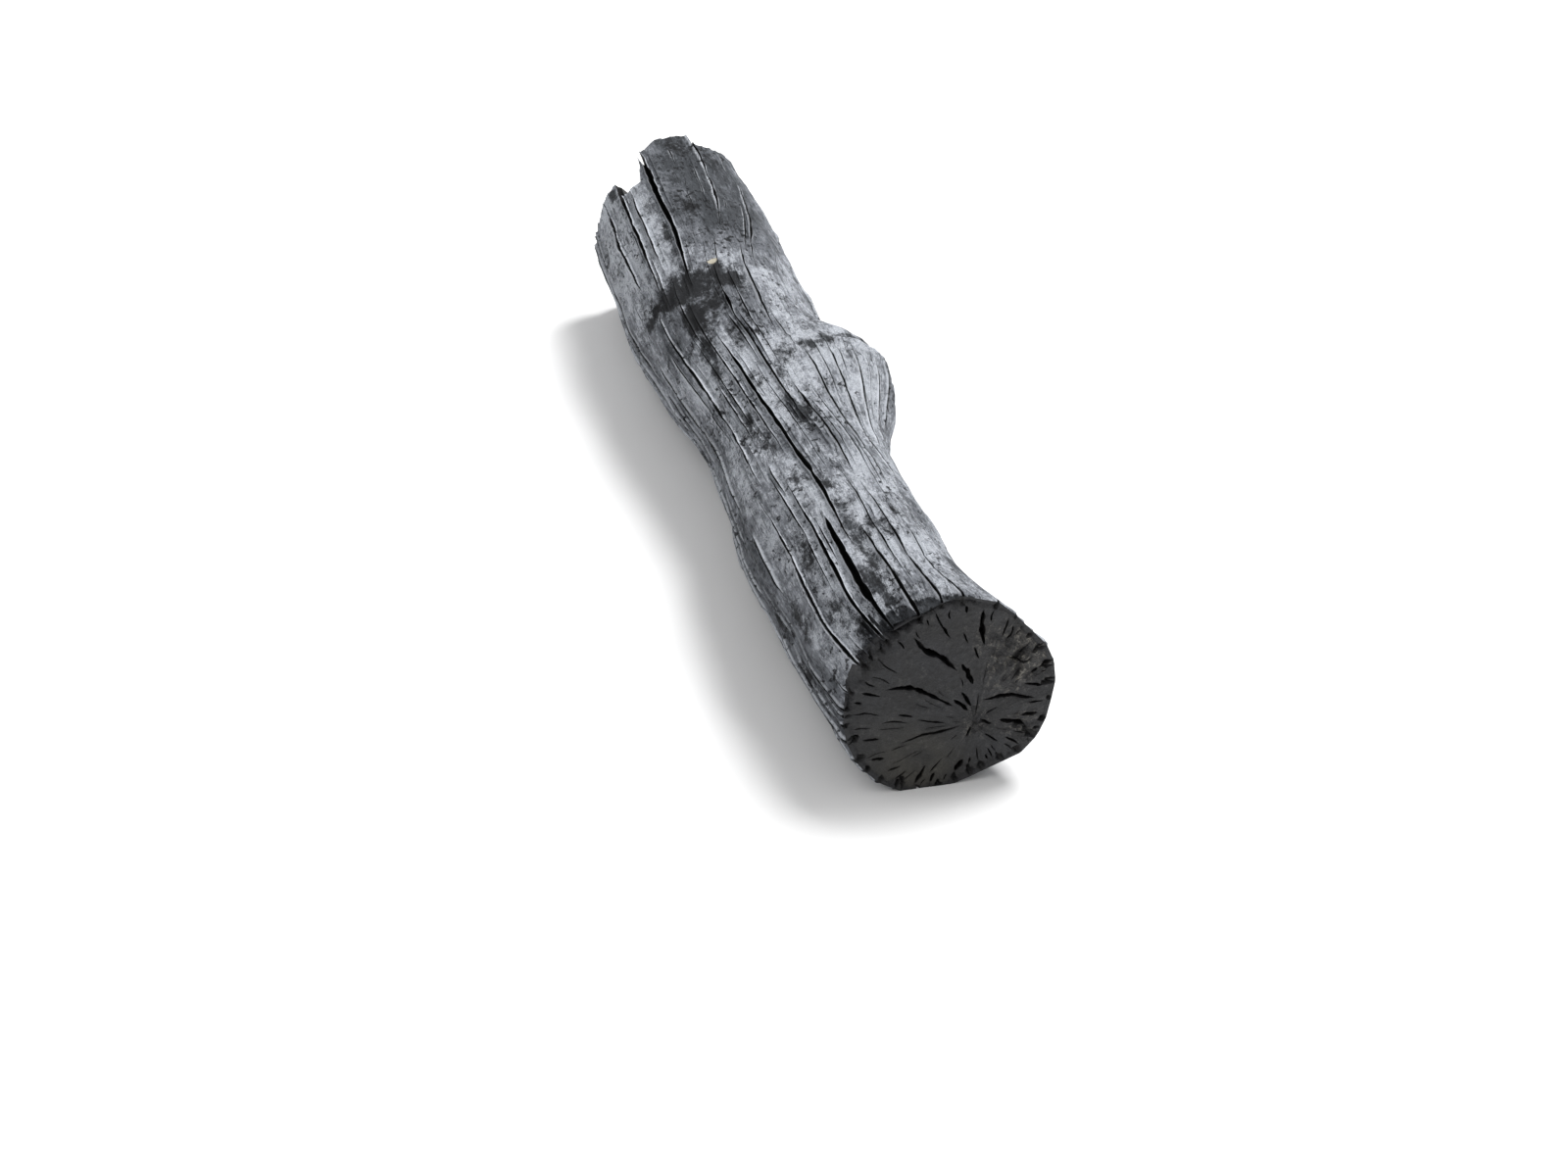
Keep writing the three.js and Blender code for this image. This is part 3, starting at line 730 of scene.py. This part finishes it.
def makeMesh(name):
    rings = np.concatenate([sidePoints, snappedPoints])
    rows, ringCount = len(sidePoints), len(rings)
    heartX, heartZ = pithPlace(snapped["heart"])
    added = sawnRim < 0
    heartPoint = (heartX, snapped["heart"] - 1, heartZ)
    points = np.concatenate([rings.reshape(-1, 3), [heartPoint], sawnPoints[added]])
    low, high = points.min(0), points.max(0)
    boxLow, boxHigh = (np.array(corner) * 1000 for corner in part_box("charcoal_stick"))
    middle = (boxLow + boxHigh - low - high) / 2
    points += [middle[0], middle[1], 0]
    print("moved onto the frame by", middle[:2].round(3))

    ring, column = np.meshgrid(np.arange(ringCount - 1), np.arange(columnCount), indexing="ij")
    after = (column + 1) % columnCount
    quads = np.stack([ring * columnCount + column, (ring + 1) * columnCount + column,
                      (ring + 1) * columnCount + after, ring * columnCount + after], -1).reshape(-1, 4)
    heart = ringCount * columnCount
    last = heart - columnCount + np.arange(columnCount)
    fan = np.stack([np.full(columnCount, heart), np.roll(last, -1), last], -1)
    number = np.where(added, heart + np.cumsum(added), sawnRim)
    face = number[sawnTriangles]
    data = bpy.data.meshes.new(name)
    data.from_pydata((points / 1000).tolist(), [], quads.tolist() + fan.tolist() + face.tolist())

    sideQuads = (rows - 1) * columnCount
    ends = len(quads) - sideQuads + len(fan)
    slots = np.repeat([0, 2, 1], [sideQuads, ends, len(face)])
    data.polygons.foreach_set("material_index", slots.astype(np.int32))
    none = np.zeros((rows, columnCount))
    shade = {
        "grooveShade": (sideFacts["grooveShade"], "grooveShade"), "worn": (sideFacts["worn"], None),
        "lip": (sideFacts["lip"], None), "broken": (sideFacts["broken"], None),
        "coverAndShade": (ashCoverAndShade(), None), "cream": (creamShare(), None),
        "fromPith": (none, "fromPith"), "crumbly": (none, "crumbly"),
        "rayX": (none, "rayX"), "rayZ": (none, "rayZ"), "earthy": (none, "earthy"),
    }
    for key, (onSide, endKey) in shade.items():
        onSnapped = snappedFacts[endKey] if endKey else np.zeros(snappedPoints.shape[:2])
        onSawn = sawnFacts[endKey][added] if endKey else np.zeros(int(added.sum()))
        values = np.concatenate([onSide.ravel(), onSnapped.ravel(), [0], onSawn])
        data.attributes.new(key, "FLOAT", "POINT").data.foreach_set("value", values.astype(np.float32))
    unroll(data, points, quads[sideQuads:], fan, face)
    data.shade_smooth()
    data.set_sharp_from_angle(angle=math.radians(mesh["sharpAngle"]))
    data.validate()
    return data


def unroll(data, points, snappedQuads, fan, face):
    # One map without overlaps: the side unrolled below, and the two ends as discs above it
    margin, sideHeight, discRadius = 0.005, 0.77, 0.105
    snappedCentre, sawnCentre = (0.75, 0.885), (0.25, 0.885)
    spread = 27  # millimetres from the pith to a disc's edge
    wide = np.arange(columnCount + 1) / columnCount * (1 - 2 * margin) + margin
    tall = np.linspace(margin, sideHeight, len(sidePoints))
    row, column = np.meshgrid(np.arange(len(sidePoints) - 1), np.arange(columnCount), indexing="ij")
    side = [np.stack([wide[column + c], tall[row + r]], -1) for r, c in ((0, 0), (1, 0), (1, 1), (0, 1))]
    parts = [np.stack(side, 2).reshape(-1, 2)]
    heart = points[fan[0, 0]]
    for faces, centre in ((snappedQuads, snappedCentre), (fan, snappedCentre), (face, sawnCentre)):
        at = points[faces.ravel()][:, [0, 2]] - heart[[0, 2]]
        parts.append(np.array(centre) + at / spread * discRadius)
    layer = data.uv_layers.new(name="OFBake")
    layer.data.foreach_set("uv", np.concatenate(parts).astype(np.float32).ravel())


charcoalStick = bpy.data.objects.new("charcoalStick", makeMesh("charcoalStick"))
bpy.context.scene.collection.objects.link(charcoalStick)
print("mesh made:", len(charcoalStick.data.polygons), "faces")


def hexColour(text):  # an sRGB hex value as a linear colour
    parts = [int(text[i:i + 2], 16) / 255 for i in (1, 3, 5)]
    return (*(p / 12.92 if p <= 0.04045 else ((p + 0.055) / 1.055) ** 2.4 for p in parts), 1)


def addNode(tree, kind, inputs=None, **settings):
    node = tree.nodes.new(kind)
    for name, value in settings.items():
        setattr(node, name, value)
    for name, value in (inputs or {}).items():
        if isinstance(value, bpy.types.NodeSocket):
            tree.links.new(value, node.inputs[name])
        else:
            node.inputs[name].default_value = value
    return node


def newMaterial(name):
    material = bpy.data.materials.new(name)
    material.use_nodes = True
    material.node_tree.nodes.clear()
    return material, material.node_tree


def sizedNoises(tree, patterns):
    # Noises whose lumps are about so many millimetres, each longer along the grain by its stretch
    place = addNode(tree, "ShaderNodeTexCoord").outputs["Object"]
    made = []
    for size, stretch, detail, rough in patterns.values():
        scale = (1000 / size, 1000 / size / stretch, 1000 / size)
        mapped = addNode(tree, "ShaderNodeMapping", {"Vector": place, "Scale": scale}).outputs[0]
        settings = {"Vector": mapped, "Scale": 1.0, "Detail": detail, "Roughness": rough}
        made.append(addNode(tree, "ShaderNodeTexNoise", settings).outputs["Fac"])
    return made


def weighed(tree, start, *parts):  # a starting number and so much of each value, one after another
    total = start
    for value, amount in parts:
        terms = {0: value, 1: amount, 2: total}
        total = addNode(tree, "ShaderNodeMath", terms, operation="MULTIPLY_ADD").outputs[0]
    return total


def passed(tree, *gates):
    # How much of a coat lies on. A gate is a value, the two ends between which the coat sets in, and its
    # share before and after them. The shares of several gates are multiplied
    total = 1.0
    for value, low, high, before, after in gates:
        ends = {"Value": value, "From Min": low, "From Max": high, "To Min": before, "To Max": after}
        share = addNode(tree, "ShaderNodeMapRange", ends, interpolation_type="SMOOTHSTEP").outputs["Result"]
        total = addNode(tree, "ShaderNodeMath", {0: share, 1: total}, operation="MULTIPLY").outputs[0]
    return total


def coated(tree, under, coats):  # coats laid one over another, each a share and a colour
    for share, colour in coats:
        laid = {0: share, 6: under, 7: colour}
        under = addNode(tree, "ShaderNodeMix", laid, data_type="RGBA").outputs[2]
    return under


def surface(tree, finish, colour, roughness, height):
    relief = {"Height": height, "Strength": finish["bump"], "Distance": finish["bumpHeight"]}
    bump = addNode(tree, "ShaderNodeBump", relief).outputs[0]
    settings = {
        "Base Color": colour, "Roughness": roughness, "IOR": finish["ior"],
        "Specular IOR Level": finish["specular"], "Normal": bump,
    }
    shader = addNode(tree, "ShaderNodeBsdfPrincipled", settings)
    addNode(tree, "ShaderNodeOutputMaterial", {"Surface": shader.outputs[0]})


ashFinish = {
    "colours": {
        "palest": "#c9cdd4", "pale": "#9b9fa6", "mid": "#6a6d73", "thin": "#36393d", "bare": "#18191b",
        "crack": "#050506", "cream": "#b8b2a2",
    },
    "patterns": {  # size in millimetres, stretch along the grain, detail and roughness
        "broad": (9, 1.6, 4, 0.6), "smudge": (5, 1.9, 7, 0.7), "blotch": (3, 2, 7, 0.72),
        "speckle": (0.9, 1.4, 5, 0.75), "pit": (1.3, 1.3, 4, 0.6), "cluster": (9, 1.3, 3, 0.6),
        "grit": (0.24, 1, 3, 0.75), "fibre": (0.4, 9, 3, 0.65), "shake": (1.3, 11, 3, 0.5),
    },
    "shakes": 0.75, "roughness": 0.92, "ior": 1.45, "specular": 0.25,
    "bump": 0.9, "bumpHeight": 0.0006,  # in metres
}


def makeAshSide():
    # White charcoal's side: raked red-hot from the kiln and smothered in damp ash, which dries on the matt
    # black carbon. It gives the eye a cool powdery grey with dark flecks, and no gloss
    material, tree = newMaterial("ashCoatedCharcoal")
    f = ashFinish
    shade = {key: hexColour(text) for key, text in f["colours"].items()}
    broad, smudge, blotch, speckle, pit, cluster, grit, fibre, shake = sizedNoises(tree, f["patterns"])
    grooveShade, worn, lip, broken, coverAndShade, cream = (
        addNode(tree, "ShaderNodeAttribute", attribute_name=key).outputs["Fac"]
        for key in ("grooveShade", "worn", "lip", "broken", "coverAndShade", "cream"))

    # How thin the ash lies and how dark the side is, from its cover with its painted shade, its blotches and
    # the wood's fibres. A noise lies round 0.5, so this sum and those below start lower by half of what their
    # noises add
    thinnessAndShade = weighed(tree, -1.9, (coverAndShade, -1), (broad, 1), (blotch, 1.6), (speckle, 1.4), (fibre, 1),
                       (grit, 0.6))

    # Hair-thin shakes run along the fibres in patches, pits lie in clusters, and whole patches are worn or
    # broken down to the carbon
    aside = addNode(tree, "ShaderNodeMath", {0: weighed(tree, -0.5, (shake, 1))}, operation="ABSOLUTE")
    shakes = passed(tree, (aside.outputs[0], 0.004, 0.02, f["shakes"], 0), (broad, 0.42, 0.56, 0.1, 1))
    pits = passed(tree, (weighed(tree, -0.25, (pit, 1), (cluster, 0.5)), 0.61, 0.68, 0, 1))
    wear = weighed(tree, -1.7, (worn, 1), (blotch, 2.2), (speckle, 1.2))
    bitten = weighed(tree, -0.6, (broken, 1), (speckle, 1.2))
    speck = weighed(tree, -0.4, (cream, 1), (blotch, 0.8))
    ragged = weighed(tree, -0.25, (grooveShade, 1), (speckle, 0.5))
    carbon = coated(tree, shade["thin"], [(passed(tree, (thinnessAndShade, -0.45, 0.2, 0, 1)), shade["bare"])])

    colour = coated(tree, shade["pale"], [
        (passed(tree, (thinnessAndShade, -0.4, 0.14, 0, 1)), shade["mid"]),
        (passed(tree, (thinnessAndShade, 0.1, 0.85, 0, 1)), shade["thin"]),
        (passed(tree, (smudge, 0.52, 0.66, 0, 0.8)), shade["thin"]),
        (passed(tree, (grit, 0.45, 0.62, 0, 1), (thinnessAndShade, 0.3, -0.4, 0.05, 1)), shade["palest"]),
        # Painted highlight: the palest ash along the raised crack lips, where light catches their edges
        (passed(tree, (lip, 0.15, 0.7, 0, 1), (speckle, 0.32, 0.5, 0, 0.85)), shade["palest"]),
        (shakes, shade["bare"]),
        (weighed(tree, 0, (pits, 0.9)), shade["bare"]),
        (passed(tree, (wear, 0.3, 0.9, 0, 0.94)), carbon),
        (passed(tree, (bitten, 0.3, 0.7, 0, 0.9)), carbon),
        (passed(tree, (speck, 0.4, 0.55, 0, 1)), shade["cream"]),
        # Painted shade in the cracks: bare carbon lies in them, painted near-black with their depth and along
        # their edges
        (passed(tree, (ragged, 0.15, 0.5, 0, 1)), shade["crack"]),
    ])
    height = weighed(tree, 0, (speckle, 1.2), (fibre, 0.5), (grit, 0.35), (pits, -0.4), (shakes, -0.4))
    surface(tree, f, colour, f["roughness"], height)
    return material


cutFinish = {
    "colours": {
        "face": "#1f2024", "faceDark": "#101012", "crumb": "#7b7871", "crack": "#040404", "earth": "#38362f",
        "dust": "#5b5852",
    },
    "patterns": {  # size in millimetres, stretch along the grain, detail and roughness
        "broad": (6, 1, 3, 0.5), "clump": (1.3, 1, 4, 0.65), "grit": (0.35, 1, 3, 0.7),
    },
    "ringSpacing": 1.4, "ringWander": 5, "rayCells": 9, "rayReach": 9,
    "roughness": {"sawn": 0.55, "snapped": 0.6}, "ior": 1.5, "specular": 0.5,
    "bump": 0.7, "bumpHeight": 0.0006,  # in metres
}


def makeEnd(name, roughness):
    # Bare hard charcoal, cut or snapped across: near-black carbon dense enough to ring, so it gives a soft
    # satin sheen, faint growth rings and a few paler crumbs
    material, tree = newMaterial(name)
    f = cutFinish
    shade = {key: hexColour(text) for key, text in f["colours"].items()}
    broad, clump, grit = sizedNoises(tree, f["patterns"])
    grooveShade, fromPith, crumbly, earthy, rayX, rayZ = (
        addNode(tree, "ShaderNodeAttribute", attribute_name=key).outputs["Fac"]
        for key in ("grooveShade", "fromPith", "crumbly", "earthy", "rayX", "rayZ"))

    # Streaks along the rays, and growth rings that wander a little
    rayPlace = addNode(tree, "ShaderNodeCombineXYZ", {
        "X": weighed(tree, 0, (rayX, f["rayCells"])), "Y": weighed(tree, 0, (fromPith, 1 / f["rayReach"])),
        "Z": weighed(tree, 0, (rayZ, f["rayCells"])),
    }).outputs[0]
    rayNoise = {"Vector": rayPlace, "Scale": 1.0, "Detail": 4, "Roughness": 0.62}
    streaks = addNode(tree, "ShaderNodeTexNoise", rayNoise).outputs["Fac"]
    ringPhase = weighed(tree, 0, (broad, f["ringWander"]), (fromPith, 2 * math.pi / f["ringSpacing"]))
    rings = addNode(tree, "ShaderNodeMath", {0: ringPhase}, operation="SINE").outputs[0]

    tone = weighed(tree, -0.75, (rings, 0.04), (broad, 0.9), (grit, 0.5), (clump, 0.7), (streaks, 0.3))
    crumbTone = weighed(tree, 0, (clump, 0.4), (grit, 0.3), (streaks, 0.3))
    someCrumbs = weighed(tree, 0.1, (crumbly, 0.8))
    colour = coated(tree, shade["faceDark"], [
        (passed(tree, (tone, 0.24, 0.68, 0, 1)), shade["face"]),
        (weighed(tree, 0, (earthy, passed(tree, (broad, 0.35, 0.6, 0.25, 0.85)))), shade["earth"]),
        (weighed(tree, 0, (crumbly, passed(tree, (crumbTone, 0.42, 0.62, 0, 0.65)))), shade["dust"]),
        (weighed(tree, 0, (someCrumbs, passed(tree, (crumbTone, 0.53, 0.6, 0, 1)))), shade["crumb"]),
        # Painted shade: the cracks near-black, with a soft halo round them and darker hollows in the crumbly
        # parts
        (passed(tree, (grooveShade, 0.15, 0.7, 0, 1)), shade["crack"]),
    ])
    lumpy = weighed(tree, 1.1, (crumbly, 2.2))
    surface(tree, f, colour, roughness, weighed(tree, 0, (streaks, 0.7), (grit, 0.35), (clump, lumpy)))
    return material


charcoalStick.data.materials.append(makeAshSide())
for end, roughness in cutFinish["roughness"].items():
    charcoalStick.data.materials.append(makeEnd(end + "Charcoal", roughness))
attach(charcoalStick, "root")
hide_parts("charcoal_stick")
print("finishes made")

studio = {
    "floorSide": 6, "floorColour": "#f4f4f4",
    "skyColour": "#ffffff", "skyStrength": 0.48,
    "lamps": [  # name, place in metres, side length, power in watts
        ("keyLamp", (0.5, 0.3, 0.9), 0.5, 16.2),
        ("fillLamp", (-0.7, -0.1, 0.9), 0.9, 3),
    ],
}


def makeStudio():
    half = studio["floorSide"] / 2
    data = bpy.data.meshes.new("floor")
    corners = [(-half, -half, 0), (half, -half, 0), (half, half, 0), (-half, half, 0)]
    data.from_pydata(corners, [], [(0, 1, 2, 3)])
    floor = bpy.data.objects.new("floor", data)
    bpy.context.scene.collection.objects.link(floor)
    material, tree = newMaterial("matWhiteCard")  # plain card gives an even pale ground
    card = {"Base Color": hexColour(studio["floorColour"]), "Roughness": 0.9}
    shader = addNode(tree, "ShaderNodeBsdfPrincipled", card)
    addNode(tree, "ShaderNodeOutputMaterial", {"Surface": shader.outputs[0]})
    data.materials.append(material)
    world = bpy.data.worlds.new("softRoom")
    world.use_nodes = True
    sky = world.node_tree.nodes["Background"]
    sky.inputs["Color"].default_value = hexColour(studio["skyColour"])
    sky.inputs["Strength"].default_value = studio["skyStrength"]
    bpy.context.scene.world = world
    for name, place, side, power in studio["lamps"]:
        lamp = bpy.data.lights.new(name, "AREA")
        lamp.size = side
        lamp.energy = power
        holder = bpy.data.objects.new(name, lamp)
        holder.location = place
        holder.rotation_euler = (-Vector(place)).to_track_quat("-Z", "Y").to_euler()
        bpy.context.scene.collection.objects.link(holder)


camera = {"place": (-0.1458, -0.6155, 0.3720), "azimuth": -13.16, "elevation": 31.89, "lens": 77.08}


def makeCamera():
    azimuth, elevation = math.radians(camera["azimuth"]), math.radians(camera["elevation"])
    level = math.cos(elevation)
    look = Vector((-math.sin(azimuth) * level, math.cos(azimuth) * level, -math.sin(elevation)))
    data = bpy.data.cameras.new("camera")
    data.lens = camera["lens"]
    data.sensor_width = 36
    data.clip_start = 0.01
    holder = bpy.data.objects.new("camera", data)
    holder.location = camera["place"]
    holder.rotation_euler = look.to_track_quat("-Z", "Y").to_euler()
    bpy.context.scene.collection.objects.link(holder)
    bpy.context.scene.camera = holder


makeStudio()
makeCamera()
bpy.context.scene.view_settings.view_transform = "Standard"
print("studio and camera set")
